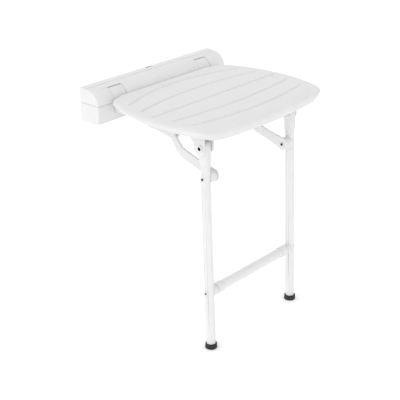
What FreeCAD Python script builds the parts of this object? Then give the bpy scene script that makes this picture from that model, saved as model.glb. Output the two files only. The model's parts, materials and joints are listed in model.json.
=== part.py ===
import FreeCAD, Part
import math
import os
from FreeCAD import Vector

# Wall-mounted folding shower seat with a front leg frame, in millimetres.
# X runs along the wall, Y points into the wall and Z is up. The origin is the
# centre of the wall plate's back face. Each paired piece is drawn on the +X
# side and mirrored; the side at -X is called left.

# Heights and the wall housing
FLOOR_Z = -479.0
HOUSING_HALF_LENGTH = 196.0
HOUSING_HALF_HEIGHT = 35.0
SEAM_Z = 3.4
SEAM_GAP = 0.6
SHELL = 2.5
BACK_Y = -0.3
LEDGE_DEPTH = 15.0
COVER_AXIS = (-21.5, 2.0)
COVER_RADIUS = 31.0
PLATE_THICKNESS = 3.0
PLATE_HALF_LENGTH = 188.0
PLATE_HALF_HEIGHT = 30.0
PLATE_CORNER = 6.0
WALL_HOLE_RADIUS = 3.3
# Places (x, z) of the screw holes in the +X half of the wall plate
WALL_HOLES = [(176, 16), (176, -16), (60, 16)]
BASE_SCREWS = [(80, -22)]

# Seat hinge
HINGE_AXIS = (-38.0, 18.0)
HINGE_PIN_RADIUS = 3.5
BUSH_RADIUS = 5.5
BARREL_RADIUS = 7.5
ARM_X = 131.5
ARM_WIDTH = 37.0
SLOT_SIDE_GAP = 0.8
SLOT_LOW_GAP = 1.2
EAR_THICKNESS = 4.0
SHIELD_RADIUS = 30.6
SHIELD_TOP_ANGLE = 66.0
SLOT_TOP_ANGLE = 72.0
ARM_FRONT_Y = -140.0
ARM_THICKNESS = 8.0
ARM_TIP_RADIUS = 8.0
ARM_INNER = ARM_X - ARM_WIDTH / 2
ARM_OUTER = ARM_X + ARM_WIDTH / 2
# Ahead of the neck the tongue leaves room for the folded strut beside it
TONGUE_INNER = 127.5
NECK_Y = -62.0
EAR_INNER = ARM_INNER - 1.5
EAR_OUTER = ARM_OUTER + 1.5
BRACKET_FLANGE = 7.5
BRACKET_FOOT_Y = -PLATE_THICKNESS - 3.0
BRACKET_SCREWS = [(ARM_X - 9, -16), (ARM_X + 9, -16)]

# Seat
SEAT_TOP_Z = 16.0
SEAT_BOTTOM_Z = -9.0
SEAT_REAR_Y = -55.0
SEAT_FRONT_Y = -345.0
SEAT_HALF_WIDTH = 210.0
SKIN_Z = 11.5
RIB_LOW_Z = 4.0
RIB_HALF_THICKNESS = 1.5
RIBS_ACROSS = (-150, -215, -270)
RIBS_ALONG = (-75, -25, 25, 75)
BOSS_RADIUS = 5.0
GROOVE_WIDTH = 6.0
GROOVE_DEPTH = 2.4
# Half width, y at the ends and y at the middle of each drain groove
GROOVES = [(171, -115, -81), (181, -158, -138), (193, -198, -198), (184, -241, -256), (174, -284, -304)]
# Right half of the widest outline: a corner, the flank and a corner, each an arc
REAR_CORNER = [(130, -55), (166, -65), (188, -95)]
FLANK = [(188, -95), (210, -205), (193, -312)]
FRONT_CORNER = [(193, -312), (183, -328.3), (163, -336)]
# Sections of the seat, from its underside up: height, then how far the outline
# is drawn in at the sides, the front and the rear
SEAT_SECTIONS = [
    (-9.0, 30.0, 4.0, 1.0),
    (-4.0, 20.0, 1.5, 0.3),
    (3.0, 10.0, 0.0, 0.0),
    (8.0, 3.0, 1.5, 0.0),
    (10.6, 0.2, 5.0, 0.0),
    (12.8, 1.6, 10.0, 0.4),
    (14.9, 5.8, 17.0, 1.2),
    (16.0, 13.0, 27.0, 3.0),
]
# Sections of the hollow below, measured in the same way
CAVITY_SECTIONS = [(-10.0, 37.0, 11.0, 6.0), (3.0, 17.0, 9.0, 5.0), (SKIN_Z, 18.0, 22.0, 6.0)]

# Legs
LEG_X = 136.6
LEG_PIVOT = (-282.5, -38.5)
LEG_LEAN = 2.8
LEG_RADIUS = 9.5
LEG_BORE = 8.0
HEAD_LENGTH = 36.0
HEAD_HALF_WIDTH = 9.6
HEAD_HALF_DEPTH = 10.6
HEAD_ROUND_RADIUS = 11.6
SPIGOT_LENGTH = 40.0
PIVOT_RADIUS = 4.0
CHEEK_GAP = 9.9
CHEEK_THICKNESS = 2.8
# How far a cheek reaches behind and ahead of the pivot
INNER_CHEEK = (13.5, 13.5)
OUTER_CHEEK = (17.0, 9.0)
ROOF_THICKNESS = 4.0
CROSSBAR_DROP = 312.7
CROSSBAR_RADIUS = 10.0
CROSSBAR_BORE = 8.2
PLUG_RADIUS = 11.3
PLUG_LENGTH = 20.0
SADDLE_LENGTH = 9.0
SADDLE_RADIUS = 10.7
SADDLE_NECK = 1.5
FOOT_RADIUS = 12.8
FOOT_HEIGHT = 11.0
FOOT_FLOOR = 3.0
PLUG_END = LEG_X - LEG_RADIUS - SADDLE_LENGTH

# Struts: they turn on the legs, and a pin at the upper end slides in a guide
STRUT_DROP = 64.4
STRUT_X = 112.5
STRUT_WIDTH = 4.5
STRUT_EYE = 12.5
STRUT_BOLT_RADIUS = 3.2
SPACER_RADIUS = 12.0
SPACER_NECK_RADIUS = 7.0
SPACER_NECK = 1.0
STRUT_END_GAP = 0.3
STRUT_NUT_THICKNESS = 1.8
STRUT_HEAD_HEIGHT = 1.2
CROSSBAR_HEAD_HEIGHT = 2.2
SLIDE_PIN = (-178.0, -25.0)
SLIDE_PIN_RADIUS = 4.0
SLIDE_EYE = 8.0
SLOT_CLEARANCE = 0.3
GUIDE_X = 105.0
GUIDE_THICKNESS = 4.0

# Fold angles in degrees: the leg on the seat, and the strut seen from the seat
LEG_TURN = 92.8
STRUT_TURN = 27.6

RUNNING_GAP = 0.05
SCREW_RADIUS = 2.0
SCREW_HEAD_RADIUS = 4.0
SCREW_HEAD_HEIGHT = 2.4
HEAD_ROUNDING = 0.4
OVERSHOOT = 1.0

# Screws into the seat's underside: places (x, y) on the +X side, and their depth
ARM_SCREWS = [(139, -90), (139, -125)]
LEG_BRACKET_SCREWS = [(LEG_X - 5.3, -252), (LEG_X + 5.3, -252)]
GUIDE_SCREWS = [(GUIDE_X - 10, -176), (GUIDE_X - 10, -92)]
PANEL_SCREWS = ARM_SCREWS + LEG_BRACKET_SCREWS + GUIDE_SCREWS
SCREW_BITE = 12.0

X_AXIS = Vector(1, 0, 0)
Y_AXIS = Vector(0, 1, 0)
Z_AXIS = Vector(0, 0, 1)
lean = math.radians(LEG_LEAN)
LEG_DIRECTION = Vector(0, -math.sin(lean), -math.cos(lean))


def box(x0, x1, y0, y1, z0, z1):
    return Part.makeBox(x1 - x0, y1 - y0, z1 - z0, Vector(x0, y0, z0))


def rod_x(centre, radius, x0, x1):
    """A cylinder along X about a (y, z) centre."""
    return Part.makeCylinder(radius, x1 - x0, Vector(x0, *centre), X_AXIS)


def line(a, b):
    return Part.makeLine(Vector(0, *a), Vector(0, *b))


def arc(a, b, c):
    return Part.Arc(Vector(0, *a), Vector(0, *b), Vector(0, *c)).toShape()


def quarter(start, end, centre):
    """An arc that bulges away from a centre as a quarter of an oval does."""
    share = math.sqrt(0.5)
    middle = [c + (a + b - 2 * c) * share for a, b, c in zip(start, end, centre)]
    return arc(start, middle, end)


def extrude_x(edges, x0, x1):
    """A prism along X whose section in YZ is bounded by the edges."""
    section = Part.Face(Part.Wire(edges))
    section.translate(Vector(x0, 0, 0))
    return section.extrude(Vector(x1 - x0, 0, 0))


def plate_x(points, x0, x1):
    """A flat plate whose outline in YZ is a polygon."""
    ends = points[1:] + points[:1]
    return extrude_x([line(a, b) for a, b in zip(points, ends)], x0, x1)


def on_circle(centre, radius, degrees):
    """A point at an angle measured from straight out of the wall, upwards."""
    angle = math.radians(degrees)
    return centre[0] - radius * math.cos(angle), centre[1] + radius * math.sin(angle)


def on_leg(drop):
    """The (y, z) point on the leg's axis at a distance below its pivot."""
    return LEG_PIVOT[0] + drop * LEG_DIRECTION.y, LEG_PIVOT[1] + drop * LEG_DIRECTION.z


def leg_cylinder(radius, start, end):
    """A cylinder along the leg's axis between two distances below the pivot."""
    return Part.makeCylinder(radius, end - start, Vector(LEG_X, *on_leg(start)), LEG_DIRECTION)


def mirrored(shape):
    return shape.mirror(Vector(0, 0, 0), X_AXIS)


def save(node, shape):
    shape.exportStep(f"parts/{node}.step")


def save_pair(node, shape):
    save(f"{node}_right", shape)
    save(f"{node}_left", mirrored(shape))


def save_both_sides(node, shapes):
    """One node that holds the same loose pieces on both sides."""
    save(node, Part.makeCompound(shapes + [mirrored(s) for s in shapes]))


def screw(point, direction, length, radius=SCREW_RADIUS):
    """A pan-head screw with a hexagon socket; point is under the head."""
    head_radius = SCREW_HEAD_RADIUS * radius / SCREW_RADIUS
    shank = Part.makeCylinder(radius, length, point, direction)
    head = Part.makeCylinder(head_radius, SCREW_HEAD_HEIGHT, point, direction * -1)
    rim = [e for e in head.Edges if (e.CenterOfMass - point).Length > SCREW_HEAD_HEIGHT * 0.9]
    head = head.makeFillet(SCREW_HEAD_HEIGHT * HEAD_ROUNDING, rim[:1])
    top = point - direction * SCREW_HEAD_HEIGHT
    socket = hex_prism(top, direction, radius * 0.8, SCREW_HEAD_HEIGHT * 0.6)
    return shank.fuse(head).removeSplitter().cut(socket)


def hex_prism(base, direction, radius, height):
    """A hexagonal prism; radius is to its corners."""
    side = direction.cross(X_AXIS) if abs(direction.x) < 0.5 else direction.cross(Y_AXIS)
    side.normalize()
    other = direction.cross(side)
    turns = [math.radians(60 * i) for i in range(7)]
    corners = [base + side * (radius * math.cos(t)) + other * (radius * math.sin(t)) for t in turns]
    return Part.Face(Part.makePolygon(corners)).extrude(direction * height)


def bolt_x(centre, head_x, tip_x, radius, head_radius, head_height):
    """A bolt along X with a domed head outside head_x and its tip at tip_x."""
    toward = -1 if tip_x < head_x else 1
    start = Vector(head_x, *centre)
    shank = Part.makeCylinder(radius, abs(tip_x - head_x), start, X_AXIS * toward)
    head = Part.makeCylinder(head_radius, head_height, start, X_AXIS * -toward)
    top_x = head_x - toward * head_height
    rim = [e for e in head.Edges if abs(e.CenterOfMass.x - top_x) < 0.01]
    head = head.makeFillet(head_height * HEAD_ROUNDING, rim[:1])
    top = Vector(top_x, *centre)
    socket = hex_prism(top, X_AXIS * toward, head_radius * 0.5, head_height * 0.5)
    return shank.fuse(head).removeSplitter().cut(socket)


def hex_nut(centre, x0, x1, across, bore):
    nut = hex_prism(Vector(x0, *centre), X_AXIS, across / 2, x1 - x0)
    return nut.cut(rod_x(centre, bore, x0 - 1, x1 + 1))


def ring_x(centre, outer, inner, x0, x1):
    return rod_x(centre, outer, x0, x1).cut(rod_x(centre, inner, x0 - 1, x1 + 1))


# ---- wall housing ----


def wall_plate():
    plate = box(-PLATE_HALF_LENGTH, PLATE_HALF_LENGTH, -PLATE_THICKNESS, 0,
                -PLATE_HALF_HEIGHT, PLATE_HALF_HEIGHT)
    upright = [e for e in plate.Edges if abs(e.Length - PLATE_THICKNESS) < 0.01]
    plate = plate.makeFillet(PLATE_CORNER, upright)
    for x, z in WALL_HOLES:
        for side in (-x, x):
            plate = plate.cut(hole_y(side, z, WALL_HOLE_RADIUS))
    for x, z in BRACKET_SCREWS + BASE_SCREWS:
        for side in (-x, x):
            plate = plate.cut(hole_y(side, z, SCREW_RADIUS))
    return plate


def hole_y(x, z, radius, depth=12.0):
    """A drill along Y that starts behind the wall plane."""
    return Part.makeCylinder(radius, depth, Vector(x, -depth + 1, z), Y_AXIS)


def hinge_bracket():
    """A foot on the wall plate and two ears that carry the hinge pin."""
    foot = box(EAR_INNER - BRACKET_FLANGE, EAR_OUTER + BRACKET_FLANGE,
               BRACKET_FOOT_Y, -PLATE_THICKNESS, -24, 26)
    outline = [(BRACKET_FOOT_Y, -22), (BRACKET_FOOT_Y, 24), (-30, 25.5), (-38.5, 24),
               (-43.5, 19.5), (-45.5, 13), (-42, 6), (-14, -22)]
    shape = foot
    for x0 in (EAR_INNER - EAR_THICKNESS, EAR_OUTER):
        shape = shape.fuse(plate_x(outline, x0, x0 + EAR_THICKNESS))
    shape = shape.cut(rod_x(HINGE_AXIS, HINGE_PIN_RADIUS, EAR_INNER - 10, EAR_OUTER + 10))
    for x, z in BRACKET_SCREWS:
        shape = shape.cut(hole_y(x, z, SCREW_RADIUS))
    return shape.removeSplitter()


def y_screws(places, seat_y):
    return [screw(Vector(x, seat_y, z), Y_AXIS, -seat_y - 0.4) for x, z in places]


def cover_section(radius, back, top, bottom, ledge):
    """The upper shell's section: a ledge, a small step and a quarter round."""
    cy, cz = COVER_AXIS
    crest = (cy, cz + radius)
    middle = on_circle(COVER_AXIS, radius, 45)
    start = max(bottom, cz)
    brow = (cy - math.sqrt(radius ** 2 - (start - cz) ** 2), start)
    points = [(brow[0], bottom), (back, bottom), (back, top), (ledge, top),
              (ledge - 0.6, crest[1] + 0.2), crest]
    if bottom < cz:
        points = [brow] + points
    edges = [line(a, b) for a, b in zip(points, points[1:])]
    return edges + [arc(crest, middle, brow)]


def housing_cover():
    """The upper shell, open behind and below, with a slot for each hinge arm."""
    end = HOUSING_HALF_LENGTH
    outer = extrude_x(cover_section(COVER_RADIUS, BACK_Y, HOUSING_HALF_HEIGHT,
                                    SEAM_Z + SEAM_GAP / 2, -LEDGE_DEPTH), -end, end)
    inner = extrude_x(cover_section(COVER_RADIUS - SHELL, 1, HOUSING_HALF_HEIGHT - SHELL,
                                    -1, SHELL / 2 - LEDGE_DEPTH), SHELL - end, end - SHELL)
    shell = outer.cut(inner)
    slot_end = on_circle(COVER_AXIS, COVER_RADIUS, SLOT_TOP_ANGLE)[0]
    for side in (-1, 1):
        x0, x1 = sorted((side * (ARM_INNER - SLOT_SIDE_GAP), side * (ARM_OUTER + SLOT_SIDE_GAP)))
        shell = shell.cut(box(x0, x1, -60, slot_end, 0, 40))
    return shell.cut(box(-10, 10, -7, -2.5, 30, 40))


def housing_base():
    """The lower shell: a tray with a drafted front, notched for the arms."""
    top = SEAM_Z - SEAM_GAP / 2
    low = -HOUSING_HALF_HEIGHT
    front = COVER_AXIS[0] - COVER_RADIUS
    outline = [(BACK_Y, top), (front, top), (front + 1, low + 1.5), (front + 2.5, low), (BACK_Y, low)]
    inside = [(1, top + 1), (front + SHELL, top + 1), (front + SHELL + 1, low + SHELL), (1, low + SHELL)]
    end = HOUSING_HALF_LENGTH
    shell = plate_x(outline, -end, end).cut(plate_x(inside, SHELL - end, end - SHELL))
    for side in (-1, 1):
        x0, x1 = sorted((side * (ARM_INNER - SLOT_SIDE_GAP), side * (ARM_OUTER + SLOT_SIDE_GAP)))
        shell = shell.cut(box(x0, x1, -60, -45, SEAT_BOTTOM_Z - ARM_THICKNESS - SLOT_LOW_GAP, 10))
        for x, z in BASE_SCREWS:
            tab = box(side * x - 8, side * x + 8, BRACKET_FOOT_Y, -PLATE_THICKNESS,
                      low + SHELL - 0.5, z + 8)
            shell = shell.fuse(tab).cut(hole_y(side * x, z, SCREW_RADIUS))
    return shell.removeSplitter()


def cover_clip():
    """The spring catch behind the ledge that the cover snaps over."""
    top = HOUSING_HALF_HEIGHT - SHELL - 0.7
    points = [(-3, 12), (-3, top), (-8, top), (-8, top - 1.5), (-5.5, top - 4), (-4.5, 14), (-4.5, 12)]
    return plate_x(points, -8, 8)


def hinge_pin():
    head_x = EAR_OUTER + EAR_THICKNESS
    return bolt_x(HINGE_AXIS, head_x, EAR_INNER - EAR_THICKNESS - 2.5, HINGE_PIN_RADIUS, 4.8, 2.2)


def hinge_clip():
    x1 = EAR_INNER - EAR_THICKNESS
    return ring_x(HINGE_AXIS, 4.8, HINGE_PIN_RADIUS, x1 - 1.2, x1)


# ---- seat ----


def seat_outline(side, front, rear, z):
    """The seat's plan outline at height z, drawn in at its sides, front and rear."""
    across = (SEAT_HALF_WIDTH - side) / SEAT_HALF_WIDTH
    length = SEAT_FRONT_Y - SEAT_REAR_Y
    along = (length + front + rear) / length

    def at(x, y):
        return Vector(x * across, SEAT_REAR_Y - rear + (y - SEAT_REAR_Y) * along, z)

    runs = (REAR_CORNER, FLANK, FRONT_CORNER)
    half = [Part.Arc(*[at(x, y) for x, y in run]).toShape() for run in runs]
    other = [Part.Arc(*[at(-x, y) for x, y in run[::-1]]).toShape() for run in runs[::-1]]
    front_x, front_y = FRONT_CORNER[-1]
    front_edge = Part.Arc(at(front_x, front_y), at(0, SEAT_FRONT_Y), at(-front_x, front_y)).toShape()
    rear_x, rear_y = REAR_CORNER[0]
    rear_edge = Part.makeLine(at(-rear_x, rear_y), at(rear_x, rear_y))
    return Part.Wire([rear_edge] + half + [front_edge] + other)


def groove(half_width, end_y, middle_y):
    """A shallow bowed channel cut down from the seat's top."""
    side = GROOVE_WIDTH / 2
    z = SEAT_TOP_Z - GROOVE_DEPTH
    corners = [Vector(half_width * s, end_y + side * t, z) for s, t in ((-1, 1), (1, 1), (1, -1), (-1, -1))]
    if end_y == middle_y:
        edges = [Part.makeLine(a, b) for a, b in zip(corners, corners[1:] + corners[:1])]
    else:
        edges = [
            Part.Arc(corners[0], Vector(0, middle_y + side, z), corners[1]).toShape(),
            Part.makeLine(corners[1], corners[2]),
            Part.Arc(corners[2], Vector(0, middle_y - side, z), corners[3]).toShape(),
            Part.makeLine(corners[3], corners[0]),
        ]
    return Part.Face(Part.Wire(edges)).extrude(Z_AXIS * 4)


def seat_panel():
    """A moulded seat: grooved top skin, undercut rim, ribs and screw bosses."""
    body = Part.makeLoft([seat_outline(s, f, r, z) for z, s, f, r in SEAT_SECTIONS], True, True)
    cavity = Part.makeLoft([seat_outline(s, f, r, z) for z, s, f, r in CAVITY_SECTIONS], True, True)
    half, top = RIB_HALF_THICKNESS, SKIN_Z + OVERSHOOT
    width = SEAT_HALF_WIDTH
    ribs = [box(x - half, x + half, SEAT_FRONT_Y, SEAT_REAR_Y, RIB_LOW_Z, top) for x in RIBS_ALONG]
    ribs += [box(-width, width, y - half, y + half, RIB_LOW_Z, top) for y in RIBS_ACROSS]
    for x, y in PANEL_SCREWS:
        for side in (-x, x):
            base = Vector(side, y, SEAT_BOTTOM_Z)
            ribs.append(Part.makeCylinder(BOSS_RADIUS, top - SEAT_BOTTOM_Z, base, Z_AXIS))
    panel = body.cut(cavity).fuse([rib.common(body) for rib in ribs])
    for x, y in PANEL_SCREWS:
        for side in (-x, x):
            base = Vector(side, y, SEAT_BOTTOM_Z - OVERSHOOT)
            panel = panel.cut(Part.makeCylinder(SCREW_RADIUS, SCREW_BITE + OVERSHOOT, base, Z_AXIS))
    for half_width, end_y, middle_y in GROOVES:
        panel = panel.cut(groove(half_width, end_y, middle_y))
    return panel


def z_screws(places, seat_z):
    length = SEAT_BOTTOM_Z + SCREW_BITE - 0.5 - seat_z
    return [screw(Vector(x, y, seat_z), Z_AXIS, length) for x, y in places]


def drill_z(shape, places):
    for x, y in places:
        shape = shape.cut(Part.makeCylinder(SCREW_RADIUS, 60, Vector(x, y, -60), Z_AXIS))
    return shape


def hinge_arm():
    """A tongue under the seat, a neck, the pin barrel and the curved shield."""
    shield_top = on_circle(COVER_AXIS, SHIELD_RADIUS, SHIELD_TOP_ANGLE)
    shield_middle = on_circle(COVER_AXIS, SHIELD_RADIUS, SHIELD_TOP_ANGLE / 2)
    shield_low = on_circle(COVER_AXIS, SHIELD_RADIUS, 0)
    low = SEAT_BOTTOM_Z - ARM_THICKNESS
    points = [shield_low, (shield_low[0], SEAT_BOTTOM_Z), (NECK_Y, SEAT_BOTTOM_Z), (NECK_Y, low),
              (-50, low), (-36, -4), (-31, 14), (-31.5, 22), shield_top]
    edges = [line(a, b) for a, b in zip(points, points[1:])]
    edges.append(arc(shield_top, shield_middle, shield_low))
    tongue = box(TONGUE_INNER, ARM_OUTER, ARM_FRONT_Y, NECK_Y, low, SEAT_BOTTOM_Z)
    tip = [e for e in tongue.Edges if abs(e.CenterOfMass.y - ARM_FRONT_Y) < 0.01
           and e.BoundBox.ZLength > ARM_THICKNESS / 2]
    arm = extrude_x(edges, ARM_INNER, ARM_OUTER).fuse(tongue.makeFillet(ARM_TIP_RADIUS, tip))
    arm = arm.fuse(rod_x(HINGE_AXIS, BARREL_RADIUS, ARM_INNER, ARM_OUTER))
    arm = arm.cut(rod_x(HINGE_AXIS, BUSH_RADIUS, ARM_INNER - 1, ARM_OUTER + 1))
    return drill_z(arm.removeSplitter(), ARM_SCREWS)


def hinge_bushes():
    """Two flanged bushes pressed into the arm's barrel from its two faces."""
    bore = HINGE_PIN_RADIUS + RUNNING_GAP
    bushes = []
    for face, inward in ((ARM_INNER, 1), (ARM_OUTER, -1)):
        x0, x1 = sorted((face, face + inward * 17))
        f0, f1 = sorted((face - inward * 0.8, face))
        sleeve = ring_x(HINGE_AXIS, BUSH_RADIUS, bore, x0, x1)
        bushes.append(sleeve.fuse(ring_x(HINGE_AXIS, 7, bore, f0, f1)).removeSplitter())
    return Part.makeCompound(bushes)


def leg_bracket():
    """A clevis under the seat: a roof plate with two rounded cheeks."""
    y, z = LEG_PIVOT
    top = SEAT_BOTTOM_Z
    x0 = LEG_X - CHEEK_GAP - CHEEK_THICKNESS
    x1 = LEG_X + CHEEK_GAP + CHEEK_THICKNESS
    back = y + OUTER_CHEEK[0]
    shape = box(x0, x1, y - INNER_CHEEK[1], back + 24, top - ROOF_THICKNESS, top)
    for left, (behind, ahead) in ((x0, INNER_CHEEK), (x1 - CHEEK_THICKNESS, OUTER_CHEEK)):
        rear, front, low = y + behind, y - ahead, z - behind
        edges = [line((front, z), (front, top)), line((front, top), (rear, top)),
                 line((rear, top), (rear, z)), quarter((rear, z), (y, low), (y, z)),
                 quarter((y, low), (front, z), (y, z))]
        shape = shape.fuse(extrude_x(edges, left, left + CHEEK_THICKNESS))
        gusset = [(rear, top), (rear, z + 8), (back + 18, top - ROOF_THICKNESS), (back + 18, top)]
        shape = shape.fuse(plate_x(gusset, left, left + CHEEK_THICKNESS))
    shape = shape.cut(rod_x(LEG_PIVOT, PIVOT_RADIUS, x0 - 1, x1 + 1))
    return drill_z(shape.removeSplitter(), LEG_BRACKET_SCREWS)


def leg_pivot_bolt():
    outer = LEG_X + CHEEK_GAP + CHEEK_THICKNESS
    inner = LEG_X - CHEEK_GAP - CHEEK_THICKNESS
    return bolt_x(LEG_PIVOT, outer, inner - 5.5, PIVOT_RADIUS, 6.2, 3.6)


def leg_pivot_nut():
    inner = LEG_X - CHEEK_GAP - CHEEK_THICKNESS
    return hex_nut(LEG_PIVOT, inner - 4.5, inner, 13, PIVOT_RADIUS)


def slide_point(share):
    """The slide pin's (y, z) in the seat's frame, at a share of the full fold."""
    leg = math.radians(LEG_TURN * share)
    strut = math.radians(-STRUT_TURN * share)
    pivot = on_leg(STRUT_DROP)
    arm = (pivot[0] - LEG_PIVOT[0], pivot[1] - LEG_PIVOT[1])
    reach = (SLIDE_PIN[0] - pivot[0], SLIDE_PIN[1] - pivot[1])
    y = LEG_PIVOT[0] + arm[0] * math.cos(leg) - arm[1] * math.sin(leg)
    z = LEG_PIVOT[1] + arm[0] * math.sin(leg) + arm[1] * math.cos(leg)
    y += reach[0] * math.cos(strut) - reach[1] * math.sin(strut)
    z += reach[0] * math.sin(strut) + reach[1] * math.cos(strut)
    return y, z


def guide_slot():
    """The curved slot that the slide pin follows through the whole fold."""
    half = SLIDE_PIN_RADIUS + SLOT_CLEARANCE
    steps = 12
    track = [Vector(0, *slide_point(i / steps)) for i in range(steps + 1)]
    upper, lower = [], []
    for i, point in enumerate(track):
        along = track[min(i + 1, steps)] - track[max(i - 1, 0)]
        normal = Vector(0, -along.z, along.y).normalize() * half
        upper.append(point + normal)
        lower.append(point - normal)
    start_cap = track[0] - (track[1] - track[0]).normalize() * half
    end_cap = track[-1] + (track[-1] - track[-2]).normalize() * half
    top, bottom = Part.BSplineCurve(), Part.BSplineCurve()
    top.interpolate(upper)
    bottom.interpolate(lower)
    edges = [top.toShape(), Part.Arc(upper[-1], end_cap, lower[-1]).toShape(), bottom.toShape(),
             Part.Arc(lower[0], start_cap, upper[0]).toShape()]
    return extrude_x(Part.__sortEdges__(edges), GUIDE_X - 10, GUIDE_X + 10)


def strut_guide():
    """An angle plate under the seat with the slide pin's curved slot."""
    x0 = GUIDE_X - GUIDE_THICKNESS / 2
    x1 = GUIDE_X + GUIDE_THICKNESS / 2
    top = SEAT_BOTTOM_Z
    outline = [(-190, top), (-190, -44), (-184, -53), (-168, -57), (-152, -54.5), (-131, -50),
               (-108, -48.5), (-80, -37), (-75, -26), (-75, top)]
    shape = plate_x(outline, x0, x1).cut(guide_slot())
    shape = shape.fuse(box(x0 - 14, x1, -190, -75, top - 3, top))
    return drill_z(shape.removeSplitter(), GUIDE_SCREWS)


# ---- legs ----


def leg_head():
    """A moulded end that turns in the bracket, with a spigot inside the tube."""
    y, z = LEG_PIVOT
    half = HEAD_HALF_DEPTH
    x0, x1 = LEG_X - HEAD_HALF_WIDTH, LEG_X + HEAD_HALF_WIDTH
    low = HEAD_LENGTH
    side = Vector(0, math.cos(lean), -math.sin(lean)) * half
    centre, bottom = Vector(0, y, z), Vector(0, *on_leg(low))
    corners = [centre - side, bottom - side, bottom + side, centre + side]
    edges = [Part.makeLine(a, b) for a, b in zip(corners, corners[1:])]
    edges.append(Part.Arc(corners[3], centre - LEG_DIRECTION * half, corners[0]).toShape())
    head = extrude_x(edges, x0, x1).common(leg_cylinder(HEAD_ROUND_RADIUS, -30, low))
    head = head.fuse(leg_cylinder(LEG_BORE, low - 1, low + SPIGOT_LENGTH))
    head = head.cut(rod_x(LEG_PIVOT, PIVOT_RADIUS + RUNNING_GAP, x0 - 1, x1 + 1))
    return head.cut(rod_x(on_leg(STRUT_DROP), STRUT_BOLT_RADIUS, x0 - 5, x1 + 5)).removeSplitter()


def leg_length():
    return (LEG_PIVOT[1] - FLOOR_Z - FOOT_FLOOR) / math.cos(lean)


def leg_tube():
    tube = leg_cylinder(LEG_RADIUS, HEAD_LENGTH, leg_length())
    tube = tube.cut(leg_cylinder(LEG_BORE, HEAD_LENGTH - 1, leg_length() + 1))
    for drop in (STRUT_DROP, CROSSBAR_DROP):
        tube = tube.cut(rod_x(on_leg(drop), STRUT_BOLT_RADIUS, LEG_X - 20, LEG_X + 20))
    return tube


def foot():
    """A rubber cup with a flat sole and a chamfered rim."""
    y = on_leg(leg_length())[0]
    cup = Part.makeCone(FOOT_RADIUS, FOOT_RADIUS - 0.7, FOOT_HEIGHT, Vector(LEG_X, y, FLOOR_Z), Z_AXIS)
    cup = cup.makeFillet(1.2, [e for e in cup.Edges if e.Curve.TypeId == "Part::GeomCircle"])
    return cup.cut(leg_cylinder(LEG_RADIUS, leg_length() - 40, leg_length()))


def crossbar():
    """The tube between the legs, just above the floor."""
    end = PLUG_END - PLUG_LENGTH / 2
    return ring_x(on_leg(CROSSBAR_DROP), CROSSBAR_RADIUS, CROSSBAR_BORE, -end, end)


def crossbar_plug():
    """A sleeve on the crossbar's end with a thick end wall for the bolt."""
    centre = on_leg(CROSSBAR_DROP)
    start = PLUG_END - PLUG_LENGTH
    plug = rod_x(centre, PLUG_RADIUS, start, PLUG_END)
    plug = plug.makeFillet(1.0, [e for e in plug.Edges if e.Curve.TypeId == "Part::GeomCircle"])
    plug = plug.cut(rod_x(centre, CROSSBAR_RADIUS, start - OVERSHOOT, PLUG_END - PLUG_LENGTH / 2))
    return plug.cut(rod_x(centre, STRUT_BOLT_RADIUS, start - OVERSHOOT, PLUG_END + OVERSHOOT))


def saddle_washer():
    """A washer with a neck towards the crossbar, hollowed to fit the leg."""
    centre = on_leg(CROSSBAR_DROP)
    shoulder, end = PLUG_END + SADDLE_NECK, LEG_X - LEG_RADIUS / 2
    washer = ring_x(centre, SADDLE_RADIUS, STRUT_BOLT_RADIUS, shoulder, end)
    washer = washer.fuse(ring_x(centre, SADDLE_RADIUS - 3, STRUT_BOLT_RADIUS, PLUG_END, shoulder))
    washer = washer.cut(leg_cylinder(LEG_RADIUS, CROSSBAR_DROP - 20, CROSSBAR_DROP + 20))
    return min(washer.Solids, key=lambda solid: solid.CenterOfMass.x).removeSplitter()


def crossbar_bolt():
    outer, tip = LEG_X + LEG_RADIUS, PLUG_END - PLUG_LENGTH / 2 - 5
    return bolt_x(on_leg(CROSSBAR_DROP), outer, tip, STRUT_BOLT_RADIUS, 5.6, CROSSBAR_HEAD_HEIGHT)


def strut_pivot_bolt():
    tip = STRUT_X - STRUT_WIDTH / 2 - STRUT_END_GAP - STRUT_NUT_THICKNESS - 0.4
    outer = LEG_X + LEG_RADIUS
    return bolt_x(on_leg(STRUT_DROP), outer, tip, STRUT_BOLT_RADIUS, 5.0, STRUT_HEAD_HEIGHT)


def strut_pivot_nut():
    face = STRUT_X - STRUT_WIDTH / 2 - STRUT_END_GAP
    return hex_nut(on_leg(STRUT_DROP), face - STRUT_NUT_THICKNESS, face, 9.6, STRUT_BOLT_RADIUS)


def strut_spacer():
    """A sleeve that holds the strut off the leg and is hollowed to fit the tube."""
    centre = on_leg(STRUT_DROP)
    start = STRUT_X + STRUT_WIDTH / 2 + STRUT_END_GAP
    shoulder, end = start + SPACER_NECK, LEG_X - LEG_RADIUS / 2
    sleeve = ring_x(centre, SPACER_RADIUS, STRUT_BOLT_RADIUS, shoulder, end)
    sleeve = sleeve.fuse(ring_x(centre, SPACER_NECK_RADIUS, STRUT_BOLT_RADIUS, start, shoulder))
    sleeve = sleeve.cut(leg_cylinder(LEG_RADIUS, STRUT_DROP - 20, STRUT_DROP + 20))
    return min(sleeve.Solids, key=lambda solid: solid.CenterOfMass.x).removeSplitter()


# ---- struts ----


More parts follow.
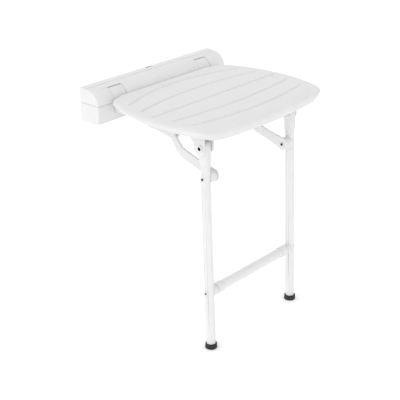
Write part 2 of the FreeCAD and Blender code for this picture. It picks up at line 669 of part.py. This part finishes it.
def strut():
    """A cranked flat bar with two round eyes."""
    x0, x1 = STRUT_X - STRUT_WIDTH / 2, STRUT_X + STRUT_WIDTH / 2
    pivot = on_leg(STRUT_DROP)
    y, z = pivot
    end_y, end_z = SLIDE_PIN
    outline = [(y - 4, z + 11.8), (y + 40.5, z + 21.6), (y + 82, z + 35.8), (end_y - 4.5, end_z - 17.5),
               (end_y - 7.5, end_z + 3), (end_y + 7, end_z - 4), (end_y + 3, end_z - 29),
               (end_y - 12, end_z - 51.5), (y + 76.5, z + 13.3), (y + 39.5, z + 2), (y + 5, z - 11.4)]
    bar = plate_x(outline, x0, x1)
    bar = bar.fuse([rod_x(pivot, STRUT_EYE, x0, x1), rod_x(SLIDE_PIN, SLIDE_EYE, x0, x1)])
    bar = bar.removeSplitter().cut(rod_x(SLIDE_PIN, SLIDE_PIN_RADIUS, x0 - 1, x1 + 1))
    return bar.cut(rod_x(pivot, STRUT_BOLT_RADIUS + RUNNING_GAP, x0 - 1, x1 + 1))


def slide_pin():
    """The pin in the strut's upper eye, running through the guide's slot."""
    return rod_x(SLIDE_PIN, SLIDE_PIN_RADIUS, GUIDE_X - GUIDE_THICKNESS / 2 - 3, STRUT_X + STRUT_WIDTH / 2)


def slide_clip():
    x1 = GUIDE_X - GUIDE_THICKNESS / 2 - 0.5
    return ring_x(SLIDE_PIN, 6.2, SLIDE_PIN_RADIUS, x1 - 1.5, x1)


os.makedirs("parts", exist_ok=True)

save("wall_plate", wall_plate())
save_pair("hinge_bracket", hinge_bracket())
save_both_sides("bracket_screws", y_screws(BRACKET_SCREWS, BRACKET_FOOT_Y))
save("housing_base", housing_base())
save_both_sides("base_screws", y_screws(BASE_SCREWS, BRACKET_FOOT_Y))
save("housing_cover", housing_cover())
save("cover_clip", cover_clip())
save_pair("hinge_pin", hinge_pin())
save_both_sides("hinge_pin_clips", [hinge_clip()])

save("seat_panel", seat_panel())
save_pair("hinge_arm", hinge_arm())
save_pair("hinge_bushes", hinge_bushes())
save_both_sides("arm_screws", z_screws(ARM_SCREWS, SEAT_BOTTOM_Z - ARM_THICKNESS))
save_pair("leg_bracket", leg_bracket())
save_both_sides("leg_bracket_screws", z_screws(LEG_BRACKET_SCREWS, SEAT_BOTTOM_Z - ROOF_THICKNESS))
save_pair("strut_guide", strut_guide())
save_both_sides("guide_screws", z_screws(GUIDE_SCREWS, SEAT_BOTTOM_Z - 3))
save_pair("leg_pivot_bolt", leg_pivot_bolt())
save_both_sides("leg_pivot_nuts", [leg_pivot_nut()])

save_pair("leg_head", leg_head())
save_pair("leg_tube", leg_tube())
save_pair("foot", foot())
save("crossbar", crossbar())
save_pair("crossbar_plug", crossbar_plug())
save_both_sides("saddle_washers", [saddle_washer()])
save_both_sides("crossbar_bolts", [crossbar_bolt()])
save_pair("strut_pivot_bolt", strut_pivot_bolt())
save_both_sides("strut_pivot_nuts", [strut_pivot_nut()])
save_both_sides("strut_spacers", [strut_spacer()])

save_pair("strut", strut())
save_pair("slide_pin", slide_pin())
save_pair("slide_clip", slide_clip())
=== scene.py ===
import json
import math

import bmesh
import bpy
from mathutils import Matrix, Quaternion, Vector


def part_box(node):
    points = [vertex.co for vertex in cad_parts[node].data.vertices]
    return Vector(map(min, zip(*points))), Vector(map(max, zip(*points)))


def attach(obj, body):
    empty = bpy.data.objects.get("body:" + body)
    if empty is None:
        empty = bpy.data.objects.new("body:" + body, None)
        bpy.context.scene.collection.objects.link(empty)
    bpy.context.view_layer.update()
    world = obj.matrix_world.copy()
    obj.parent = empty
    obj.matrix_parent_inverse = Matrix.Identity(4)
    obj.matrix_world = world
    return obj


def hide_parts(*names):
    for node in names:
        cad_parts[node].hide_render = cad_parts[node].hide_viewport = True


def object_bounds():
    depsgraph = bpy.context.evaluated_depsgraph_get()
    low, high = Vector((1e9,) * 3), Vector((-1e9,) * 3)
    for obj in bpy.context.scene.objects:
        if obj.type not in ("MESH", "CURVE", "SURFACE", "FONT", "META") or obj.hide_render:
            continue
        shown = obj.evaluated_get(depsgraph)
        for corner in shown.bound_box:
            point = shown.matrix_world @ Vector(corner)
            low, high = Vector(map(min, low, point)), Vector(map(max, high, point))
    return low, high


# A wall-mounted folding shower seat, in metres. X runs along the wall, +Y goes
# into the wall and Z is up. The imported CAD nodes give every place; this script
# adds the detailed seat moulding, softens edges and paints materials.

MM = 0.001
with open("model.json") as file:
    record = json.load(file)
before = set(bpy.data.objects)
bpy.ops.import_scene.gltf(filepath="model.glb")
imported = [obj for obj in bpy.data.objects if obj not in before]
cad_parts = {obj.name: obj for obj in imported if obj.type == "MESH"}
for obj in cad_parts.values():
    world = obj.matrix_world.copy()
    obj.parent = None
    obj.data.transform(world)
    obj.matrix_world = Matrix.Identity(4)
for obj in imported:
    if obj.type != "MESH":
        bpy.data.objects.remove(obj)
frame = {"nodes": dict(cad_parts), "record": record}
CAD_LOW, CAD_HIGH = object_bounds()

# ---- shader nodes ----

# The part of a noise pattern's range over which a surface varies
NOISE_LOW = 0.3
NOISE_HIGH = 0.7


def grey(value):
    return value, value, value


def map_range(tree, value, start, end, at_start, at_end):
    """Takes start to at_start and end to at_end, clamped; returns the result."""
    spread = tree.nodes.new("ShaderNodeMapRange")
    spread.inputs["From Min"].default_value = start
    spread.inputs["From Max"].default_value = end
    spread.inputs["To Min"].default_value = at_start
    spread.inputs["To Max"].default_value = at_end
    tree.links.new(value, spread.inputs["Value"])
    return spread.outputs["Result"]


def colour_ramp(tree, factor, stops):
    """A ramp through (position, colour) stops; returns its colour."""
    ramp = tree.nodes.new("ShaderNodeValToRGB")
    elements = ramp.color_ramp.elements
    elements.remove(elements[1])
    for i, (position, colour) in enumerate(stops):
        element = elements.new(position) if i else elements[0]
        element.position = position
        element.color = (*colour, 1)
    tree.links.new(factor, ramp.inputs["Fac"])
    return ramp.outputs["Color"]


def vector_math(tree, operation, value, operand=None):
    node = tree.nodes.new("ShaderNodeVectorMath")
    node.operation = operation
    tree.links.new(value, node.inputs[0])
    if operand:
        node.inputs[1].default_value = operand
    return node


# ---- camera and light ----

CAMERA_AZIMUTH = -48.954
CAMERA_ELEVATION = 24.149
CAMERA_ROLL = 0.24
CAMERA_DISTANCE = 2.1783
CAMERA_LENS = 91.15
SENSOR_WIDTH = 36.0
# From the middle of the CAD box to the point at which the camera aims
AIM_OFFSET = Vector((-0.0119, 0.0099, -0.0056))
WORLD_STRENGTH = 1.18
# The dome's grey by height, from 0 at the horizon to 1 overhead
WORLD_HEIGHTS = [(0.0, grey(1.0)), (0.62, grey(0.66)), (1.0, grey(0.95))]
# The dome's change along an axis: from and to where, then the factor at each end
WORLD_SIDES = [("X", 0.2, -1.0, 0.95, 1.35), ("Y", -0.9, 0.3, 0.92, 1.02)]
FLOOR_SIZE = 40.0
FLOOR_GREY = 0.93
FLOOR_ROUGHNESS = 0.9
FLOOR_GLOW = 0.18


def make_camera():
    azimuth, elevation = math.radians(CAMERA_AZIMUTH), math.radians(CAMERA_ELEVATION)
    back = Vector((math.sin(azimuth) * math.cos(elevation),
                   -math.cos(azimuth) * math.cos(elevation), math.sin(elevation)))
    camera = bpy.data.objects.new("camera", bpy.data.cameras.new("camera"))
    bpy.context.scene.collection.objects.link(camera)
    camera.data.lens = CAMERA_LENS
    camera.data.sensor_width = SENSOR_WIDTH
    camera.location = (CAD_LOW + CAD_HIGH) / 2 + AIM_OFFSET + back * CAMERA_DISTANCE
    camera.rotation_mode = "QUATERNION"
    aim = (-back).to_track_quat("-Z", "Y")
    camera.rotation_quaternion = Quaternion(back, math.radians(CAMERA_ROLL)) @ aim
    bpy.context.scene.camera = camera


def make_world():
    """A white studio dome: darker half way up and in front, brighter at the left."""
    world = bpy.data.worlds.new("studio")
    bpy.context.scene.world = world
    world.use_nodes = True
    tree = world.node_tree
    place = tree.nodes.new("ShaderNodeTexCoord")
    split = tree.nodes.new("ShaderNodeSeparateXYZ")
    tree.links.new(place.outputs["Generated"], split.inputs[0])
    colour = colour_ramp(tree, split.outputs["Z"], WORLD_HEIGHTS)
    for axis, start, end, at_start, at_end in WORLD_SIDES:
        factor = map_range(tree, split.outputs[axis], start, end, at_start, at_end)
        product = vector_math(tree, "SCALE", colour)
        tree.links.new(factor, product.inputs["Scale"])
        colour = product.outputs["Vector"]
    background = tree.nodes["Background"]
    tree.links.new(colour, background.inputs["Color"])
    background.inputs["Strength"].default_value = WORLD_STRENGTH


def make_floor():
    bpy.ops.mesh.primitive_plane_add(size=FLOOR_SIZE, location=(0, 0, CAD_LOW.z))
    floor = bpy.context.object
    floor.name = "floor"
    material, shader = new_material("floor_paper", grey(FLOOR_GREY), FLOOR_ROUGHNESS)
    shader.inputs["Emission Color"].default_value = (1, 1, 1, 1)
    shader.inputs["Emission Strength"].default_value = FLOOR_GLOW
    floor.data.materials.append(material)


# ---- materials ----

# Shares of its radius between which a coated bolt's dark centre, dark steel with painted socket
# shade, gives way to the coat
CORE_EDGE = (0.93, 1.07)
# Near-black centre colour: dark steel darkened further as painted shade of a socket recess
DARK_STEEL_AND_SOCKET_SHADE = (0.02, 0.02, 0.022)
SOCKET_CORE_METALLIC = 0.9
WHITE_COAT = grey(0.80)


def new_material(name, colour, roughness, metallic=0.0):
    material = bpy.data.materials.new(name)
    material.use_nodes = True
    shader = material.node_tree.nodes["Principled BSDF"]
    shader.inputs["Base Color"].default_value = (*colour, 1)
    shader.inputs["Roughness"].default_value = roughness
    shader.inputs["Metallic"].default_value = metallic
    return material, shader


def add_noise(material, scale, detail=2, stretch=(1, 1, 1)):
    """A noise pattern in the object's own metres; returns its factor."""
    nodes, links = material.node_tree.nodes, material.node_tree.links
    place = nodes.new("ShaderNodeTexCoord")
    mapping = nodes.new("ShaderNodeMapping")
    mapping.inputs["Scale"].default_value = stretch
    noise = nodes.new("ShaderNodeTexNoise")
    noise.inputs["Scale"].default_value = scale
    noise.inputs["Detail"].default_value = detail
    links.new(place.outputs["Object"], mapping.inputs["Vector"])
    links.new(mapping.outputs["Vector"], noise.inputs["Vector"])
    return noise.outputs["Fac"]


def vary_colour(material, shader, factor, low, high):
    tree = material.node_tree
    colour = colour_ramp(tree, factor, [(NOISE_LOW, low), (NOISE_HIGH, high)])
    tree.links.new(colour, shader.inputs["Base Color"])


def vary_roughness(material, shader, factor, low, high):
    tree = material.node_tree
    roughness = map_range(tree, factor, NOISE_LOW, NOISE_HIGH, low, high)
    tree.links.new(roughness, shader.inputs["Roughness"])


def add_bump(material, shader, factor, depth):
    nodes, links = material.node_tree.nodes, material.node_tree.links
    bump = nodes.new("ShaderNodeBump")
    bump.inputs["Strength"].default_value = 1.0
    bump.inputs["Distance"].default_value = depth
    links.new(factor, bump.inputs["Height"])
    links.new(bump.outputs["Normal"], shader.inputs["Normal"])


def plastic(name, tone, roughness, grain_scale, grain_depth):
    """Moulded white plastic: faint mottling and a fine moulded-in grain."""
    material, shader = new_material(name, grey(tone), roughness)
    shader.inputs["Specular IOR Level"].default_value = 0.4
    mottle = add_noise(material, scale=22, detail=3)
    vary_colour(material, shader, mottle, low=grey(tone * 0.975), high=grey(tone))
    vary_roughness(material, shader, mottle, low=roughness * 0.9, high=roughness * 1.1)
    add_bump(material, shader, add_noise(material, grain_scale, detail=3), grain_depth)
    return material


def powder_coat():
    material, shader = new_material("powder_coat", grey(0.82), roughness=0.38)
    mottle = add_noise(material, scale=30)
    vary_colour(material, shader, mottle, low=grey(0.80), high=grey(0.83))
    vary_roughness(material, shader, mottle, low=0.34, high=0.44)
    shader.inputs["Coat Weight"].default_value = 0.15
    shader.inputs["Coat Roughness"].default_value = 0.2
    add_bump(material, shader, add_noise(material, scale=900), depth=0.00004)
    return material


def rubber():
    material, shader = new_material("rubber", grey(0.012), roughness=0.62)
    mottle = add_noise(material, scale=160, detail=4)
    vary_colour(material, shader, mottle, low=grey(0.008), high=(0.02, 0.02, 0.021))
    vary_roughness(material, shader, mottle, low=0.5, high=0.75)
    add_bump(material, shader, add_noise(material, scale=1400, detail=3), depth=0.00006)
    return material


def metal(name, dark, light, smoothest, roughest, stretch):
    """Drawn or turned metal, with fine lines along the axes of least stretch."""
    material, shader = new_material(name, light, smoothest, metallic=1.0)
    lines = add_noise(material, scale=120, detail=3, stretch=stretch)
    vary_colour(material, shader, lines, low=dark, high=light)
    vary_roughness(material, shader, lines, low=smoothest, high=roughest)
    add_bump(material, shader, lines, depth=0.00003)
    return material


def bolt_coat_and_socket_shade(name, y, z, radius):
    """White-coated steel, with dark steel and painted socket shade within a radius of a bolt's
    axis.
    """
    material, shader = new_material(name, WHITE_COAT, roughness=0.4)
    tree = material.node_tree
    place = tree.nodes.new("ShaderNodeTexCoord")
    offset = vector_math(tree, "SUBTRACT", place.outputs["Object"], (0, y, z))
    flat = vector_math(tree, "MULTIPLY", offset.outputs["Vector"], (0, 1, 1))
    distance = vector_math(tree, "LENGTH", flat.outputs["Vector"]).outputs["Value"]
    start, end = (radius * share for share in CORE_EDGE)
    coated = map_range(tree, distance, start, end, 0, 1)
    # Painted shade: the near-black centre stands in for the shade inside a socket recess, over
    # dark steel
    colour = colour_ramp(tree, coated, [(0.0, DARK_STEEL_AND_SOCKET_SHADE), (1.0, WHITE_COAT)])
    tree.links.new(colour, shader.inputs["Base Color"])
    metallic = map_range(tree, distance, start, end, SOCKET_CORE_METALLIC, 0)
    tree.links.new(metallic, shader.inputs["Metallic"])
    add_bump(material, shader, add_noise(material, scale=900), depth=0.00003)
    return material


MATERIALS = {
    "seat_plastic": plastic("seat_plastic", 0.80, 0.48, 1500, 0.00006),
    "white_plastic": plastic("white_plastic", 0.81, 0.40, 1900, 0.00003),
    "white_tube": powder_coat(),
    "black_rubber": rubber(),
    "nylon": plastic("nylon", 0.74, 0.42, 1200, 0.00003),
    "aluminium_plate": metal("aluminium", grey(0.60), (0.74, 0.74, 0.75), 0.3, 0.45, (1, 20, 20)),
    "steel_bracket": metal("zinc", (0.50, 0.50, 0.52), (0.66, 0.66, 0.67), 0.3, 0.5, (1, 1, 8)),
    "dark_steel": metal("dark_steel", grey(0.045), (0.10, 0.10, 0.105), 0.3, 0.45, (6, 1, 1)),
}

# ---- meshes ----


def new_object(name, data, body, slot, *nodes):
    """Links a piece, paints it with its slot's material and rides it on its body."""
    piece = bpy.data.objects.new(name, data)
    bpy.context.scene.collection.objects.link(piece)
    piece.data.materials.append(MATERIALS[slot])
    if nodes:
        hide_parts(*nodes)
    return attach(piece, body)


def mesh_data(mesh, name, sharp_angle):
    """A finished bmesh as mesh data, shaded smooth up to an angle in degrees."""
    bmesh.ops.recalc_face_normals(mesh, faces=mesh.faces)
    data = bpy.data.meshes.new(name)
    mesh.to_mesh(data)
    mesh.free()
    for face in data.polygons:
        face.use_smooth = True
    data.set_sharp_from_angle(angle=math.radians(sharp_angle))
    return data


def join_rings(mesh, upper, lower):
    for i in range(len(upper)):
        j = (i + 1) % len(upper)
        mesh.faces.new((upper[i], lower[i], lower[j], upper[j]))


def close_rings(mesh, rings):
    """Joins rings of points, lowest first, into one closed tube with flat ends."""
    for lower, upper in zip(rings, rings[1:]):
        join_rings(mesh, upper, lower)
    mesh.faces.new(rings[0][::-1])
    mesh.faces.new(rings[-1])


def fill_grid(mesh, grid, flip):
    for upper, lower in zip(grid, grid[1:]):
        for i in range(len(upper) - 1):
            corners = [upper[i], lower[i], lower[i + 1], upper[i + 1]]
            mesh.faces.new(corners[::-1] if flip else corners)


def grid_edge(grid):
    """The border of a grid, once round."""
    right = [line[-1] for line in grid[1:-1]]
    left = [line[0] for line in grid[1:-1]]
    return grid[0] + right + grid[-1][::-1] + left[::-1]


def smoothstep(value):
    value = min(1.0, max(0.0, value))
    return value * value * (3 - 2 * value)


def catmull_rom(points, t):
    a, b, c, d = points
    return tuple(0.5 * (2 * q + (r - p) * t + (2 * p - 5 * q + 4 * r - s) * t * t
                        + (3 * q - p - 3 * r + s) * t ** 3) for p, q, r, s in zip(a, b, c, d))


def circle_through(a, b, c):
    """Centre and radius of the circle through three points."""
    d = 2 * (a[0] * (b[1] - c[1]) + b[0] * (c[1] - a[1]) + c[0] * (a[1] - b[1]))
    p, q, r = (point[0] ** 2 + point[1] ** 2 for point in (a, b, c))
    x = (p * (b[1] - c[1]) + q * (c[1] - a[1]) + r * (a[1] - b[1])) / d
    y = (p * (c[0] - b[0]) + q * (a[0] - c[0]) + r * (b[0] - a[0])) / d
    return x, y, math.hypot(a[0] - x, a[1] - y)


# ---- the seat moulding, in millimetres ----

SEAT_REAR = -55.0
SEAT_FRONT = -345.0
SEAT_HALF_WIDTH = 210.0
# Right half of the seat's widest outline: three arcs through three points each
OUTLINE_ARCS = [
    ((130, -55), (166, -65), (188, -95)),
    ((188, -95), (210, -205), (193, -312)),
    ((193, -312), (183, -328.3), (163, -336)),
]
CIRCLES = [circle_through(*points) for points in OUTLINE_ARCS]
# Sections of the shell: a height, then how far the outline is drawn in at the
# sides, front and rear. The rim goes from the top edge round to the lowest edge.
RIM = [
    (16.0, 13.0, 27.0, 3.0),
    (14.9, 5.8, 17.0, 1.2),
    (12.8, 1.6, 10.0, 0.4),
    (10.6, 0.2, 5.0, 0.0),
    (8.0, 3.0, 1.5, 0.0),
    (3.0, 10.0, 0.0, 0.0),
    (-4.0, 20.0, 1.5, 0.3),
    (-9.0, 30.0, 4.0, 1.0),
]
# The lip goes from there up inside the hollow, to the underside of the skin
LIP = [
    (-9.0, 36.0, 10.5, 5.5),
    (-8.0, 36.6, 10.9, 5.9),
    (3.0, 17.5, 9.2, 5.1),
    (10.5, 17.0, 20.0, 5.6),
]
SKIN = (11.5, 18.0, 22.0, 6.0)
RIM_STEPS = 4
SHELL_SHARP_ANGLE = 50
# Half width, y at the ends and y in the middle of each drain groove
GROOVES = [
    (171, -115, -81),
    (181, -158, -138),
    (193, -198, -198),
    (184, -241, -256),
    (174, -284, -304),
]
GROOVE_DEPTH = 2.4
# How far from a groove's middle line its wall starts and ends
GROOVE_EDGE = (1.7, 3.3)
GROOVE_END_FADE = 5.0
# Rows of points across each groove, and rows added between grooves
GROOVE_OFFSETS = (-5.2, -3.4, -2.9, -2.2, -1.6, 0.0, 1.6, 2.2, 2.9, 3.4, 5.2)
ROWS_BETWEEN = 4
# Columns in the inner share of each half row, and in the rest of it
INNER_COLUMNS = 20
OUTER_COLUMNS = 16
OUTER_SHARE = 0.8
# The end of a row is found by rounds of correction from a first guess
ROW_END_GUESS = SEAT_HALF_WIDTH * 0.85
ROW_END_ROUNDS = 30
# Ribs below the skin: heights of their edges, half thickness there, the chamfer
# of the lower edge, and the section of the outline at which they end
RIB_LOW = 4.0
RIB_TOP = 12.0
RIB_FOOT = 1.1
RIB_ROOT = 1.7
RIB_CHAMFER = 0.5
RIB_INSET = (0.0, 16.0, 10.0, 4.0)
RIBS_ACROSS = (-150, -215, -270)
RIBS_ALONG = (-75, -25, 25, 75)
# How much sooner the ribs along end at the front, where the outline bows
RIB_FRONT_SLACK = 6.0
RIB_SHARP_ANGLE = 30
# A boss holds each screw of these nodes: its radius is given at the foot and root
BOSS_NODES = ("arm_screws", "leg_bracket_screws", "guide_screws")
BOSS_FOOT = -9.0
BOSS_RADII = (4.8, 5.3)
BOSS_CHAMFER = 0.4
BOSS_SIDES = 40


def half_width(y):
    """The widest outline's half width at y."""
    y = max(OUTLINE_ARCS[-1][-1][1], min(SEAT_REAR, y))
    arc = 0 if y > OUTLINE_ARCS[0][-1][1] else 1 if y > OUTLINE_ARCS[1][-1][1] else 2
    cx, cy, radius = CIRCLES[arc]
    return cx + math.sqrt(max(0.0, radius ** 2 - (y - cy) ** 2))


def drawn_in(x, y, section):
    """A point of the widest outline's plan, drawn in as a section says, in metres."""
    z, side, front, rear = section
    across = (SEAT_HALF_WIDTH - side) / SEAT_HALF_WIDTH
    length = SEAT_FRONT - SEAT_REAR
    along = (length + front + rear) / length
    return Vector((x * across, SEAT_REAR - rear + (y - SEAT_REAR) * along, z)) * MM


def let_out(x, y, section):
    """The opposite of drawn_in, in millimetres."""
    _, side, front, rear = section
    length = SEAT_FRONT - SEAT_REAR
    along = (length + front + rear) / length
    return (x * SEAT_HALF_WIDTH / (SEAT_HALF_WIDTH - side),
            (y - SEAT_REAR + rear) / along + SEAT_REAR)


def width_inside(y, section):
    """Half the width at y of the outline drawn in as a section says."""
    return drawn_in(half_width(let_out(0, y, section)[1]), 0, section).x / MM


def row_list():
    """Rows of the top as (y in the middle, bow per x squared, groove or None)."""
    top = RIM[0]
    rear = SEAT_REAR - top[3]
    front = SEAT_FRONT + top[2]
    front_end = drawn_in(*OUTLINE_ARCS[-1][-1], top)
    keys = [(rear, 0.0, None)]
    for groove in GROOVES:
        wide, end_y, middle_y = groove
        for offset in GROOVE_OFFSETS:
            bow = (end_y - middle_y) / wide ** 2
            keys.append((middle_y - offset, bow, (groove, abs(offset))))
    keys.append((front, (front_end.y / MM - front) / (front_end.x / MM) ** 2, None))
    rows = [keys[0]]
    for before, after in zip(keys, keys[1:]):
        if before[0] - after[0] > GROOVE_OFFSETS[-1]:
            for i in range(1, ROWS_BETWEEN + 1):
                t = i / (ROWS_BETWEEN + 1)
                middle, bow = (a + (b - a) * t for a, b in zip(before[:2], after[:2]))
                rows.append((middle, bow, None))
        rows.append(after)
    return rows


def row_end(middle_y, bow):
    """Where a bowed row meets the edge of the flat top."""
    x = ROW_END_GUESS
    for _ in range(ROW_END_ROUNDS):
        x = width_inside(middle_y + bow * x * x, RIM[0])
    return x


def column_shares():
    inner = [OUTER_SHARE * i / INNER_COLUMNS for i in range(INNER_COLUMNS + 1)]
    outer = [OUTER_SHARE + (1 - OUTER_SHARE) * i / OUTER_COLUMNS
             for i in range(1, OUTER_COLUMNS + 1)]
    half = inner + outer
    return [-u for u in reversed(half[1:])] + half


def groove_drop(row_groove, x):
    """How far a row's groove, if it has one, lies below the top at x."""
    if row_groove is None:
        return 0.0
    (wide, _, _), offset = row_groove
    start, end = GROOVE_EDGE
    wall = 1 - smoothstep((offset - start) / (end - start))
    return GROOVE_DEPTH * wall * smoothstep((wide + 1 - abs(x)) / GROOVE_END_FADE)


def rim_sections():
    """The rim's sections, rounded by a Catmull-Rom curve, then the lip's."""
    first = tuple(2 * a - b for a, b in zip(RIM[0], RIM[1]))
    first = (RIM[0][0],) + first[1:]
    points = [first] + RIM + [LIP[0]]
    curve = []
    for i in range(1, len(points) - 2):
        for step in range(1, RIM_STEPS + 1):
            curve.append(catmull_rom(points[i - 1:i + 3], step / RIM_STEPS))
    return curve + LIP


def seat_shell():
    """One closed shell: the grooved top, the rounded rim, the lip and the hollow."""
    columns = column_shares()
    mesh = bmesh.new()
    top, plan = [], []
    for middle_y, bow, row_groove in row_list():
        end = row_end(middle_y, bow)
        line, flat = [], []
        for u in columns:
            x = u * end
            y = middle_y + bow * x * x
            z = RIM[0][0] - groove_drop(row_groove, x)
            line.append(mesh.verts.new(Vector((x, y, z)) * MM))
            flat.append(let_out(x, y, RIM[0]))
        top.append(line)
        plan.append(flat)
    skin = [[mesh.verts.new(drawn_in(x, y, SKIN)) for x, y in line] for line in plan]
    fill_grid(mesh, top, False)
    fill_grid(mesh, skin, True)
    edge_plan = grid_edge(plan)
    rings = [grid_edge(top)]
    for section in rim_sections():
        rings.append([mesh.verts.new(drawn_in(x, y, section)) for x, y in edge_plan])
    rings.append(grid_edge(skin))
    for upper, lower in zip(rings, rings[1:]):
        join_rings(mesh, upper, lower)
    return mesh_data(mesh, "seat_shell", SHELL_SHARP_ANGLE)


def add_rib(mesh, start, end):
    """A drafted wall between two plan points, thicker where it meets the skin."""
    start, end = Vector(start), Vector(end)
    along = (end - start).normalized()
    across = Vector((-along.y, along.x))
    right = [(RIB_ROOT, RIB_TOP), (RIB_FOOT, RIB_LOW + RIB_CHAMFER),
             (RIB_FOOT - RIB_CHAMFER, RIB_LOW)]
    profile = right + [(-half, z) for half, z in reversed(right)]
    close_rings(mesh, [[mesh.verts.new(Vector((*(point + across * half), z)) * MM)
                        for half, z in profile] for point in (start, end)])


def add_boss(mesh, x, y):
    """A round, drafted screw boss from its chamfered foot up into the skin."""
    foot, root = BOSS_RADII
    turns = [2 * math.pi * i / BOSS_SIDES for i in range(BOSS_SIDES)]
    rings = []
    for z, radius in ((BOSS_FOOT, foot - BOSS_CHAMFER), (BOSS_FOOT + BOSS_CHAMFER, foot),
                      (RIB_TOP, root)):
        points = [Vector((x + radius * math.cos(t), y + radius * math.sin(t), z)) for t in turns]
        rings.append([mesh.verts.new(point * MM) for point in points])
    close_rings(mesh, rings)


def screw_places():
    """The (x, y) of every screw in the underside, from the CAD meshes."""
    places = []
    for node in BOSS_NODES:
        for vertex in frame["nodes"][node].data.vertices:
            point = Vector(vertex.co[:2]) / MM
            near = (g for g in places if (g[0] - point).length < BOSS_RADII[0] * 2)
            group = next(near, None)
            if group:
                group.append(point)
            else:
                places.append([point])
    return [((min(p.x for p in g) + max(p.x for p in g)) / 2,
             (min(p.y for p in g) + max(p.y for p in g)) / 2) for g in places]


def seat_ribs():
    """The ribs and screw bosses below the skin."""
    mesh = bmesh.new()
    for y in RIBS_ACROSS:
        wide = width_inside(y, RIB_INSET)
        add_rib(mesh, (-wide, y), (wide, y))
    rear = SEAT_REAR - RIB_INSET[3]
    front = SEAT_FRONT + RIB_INSET[2] + RIB_FRONT_SLACK
    for x in RIBS_ALONG:
        add_rib(mesh, (x, rear), (x, front))
    for x, y in screw_places():
        add_boss(mesh, x, y)
    return mesh_data(mesh, "seat_ribs", RIB_SHARP_ANGLE)


def make_seat():
    new_object("seat_moulding", seat_shell(), "seat", "seat_plastic", "seat_panel")
    new_object("seat_ribs", seat_ribs(), "seat", "seat_plastic")


# ---- CAD nodes that stay ----

# Width in metres of the softened edges, by slot
BEVELS = {
    "seat_plastic": 0.0008,
    "white_plastic": 0.0007,
    "white_tube": 0.0004,
    "black_rubber": 0.0006,
    "nylon": 0.0003,
    "aluminium_plate": 0.0003,
    "steel_bracket": 0.0004,
    "dark_steel": 0.0002,
}
BEVEL_ANGLE = 35
BEVEL_SEGMENTS = 2
WELD_DISTANCE = 0.00001
# Radius in millimetres of the dark centre of each coated bolt: dark steel with painted shade of
# the socket recess
BOLT_CORES = {
    "leg_pivot_bolt_left": 3.7,
    "leg_pivot_bolt_right": 3.7,
    "strut_pivot_bolt_left": 2.9,
    "strut_pivot_bolt_right": 2.9,
    "crossbar_bolts": 2.4,
}


def dress_cad_nodes():
    """Softens the edges of every CAD node and paints it with its slot's material."""
    slots = {part["node"]: part["material_slot"] for part in frame["record"]["subparts"]}
    for name, node in frame["nodes"].items():
        slot = slots[name]
        node.data.materials.clear()
        node.data.materials.append(MATERIALS[slot])
        weld = node.modifiers.new("weld", "WELD")
        weld.merge_threshold = WELD_DISTANCE
        bevel = node.modifiers.new("soft_edges", "BEVEL")
        bevel.width = BEVELS[slot]
        bevel.segments = BEVEL_SEGMENTS
        bevel.limit_method = "ANGLE"
        bevel.angle_limit = math.radians(BEVEL_ANGLE)
        bevel.use_clamp_overlap = True


def coat_bolts():
    """Gives each bolt that shows its white coat and a dark centre of steel with painted socket
    shade.
    """
    for name, radius in BOLT_CORES.items():
        low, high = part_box(name)
        y, z = (low[1] + high[1]) / 2, (low[2] + high[2]) / 2
        frame["nodes"][name].data.materials[0] = bolt_coat_and_socket_shade(name + "_coat", y, z, radius * MM)


make_camera()
make_world()
make_floor()
bpy.context.scene.view_settings.view_transform = "Standard"
dress_cad_nodes()
coat_bolts()
make_seat()
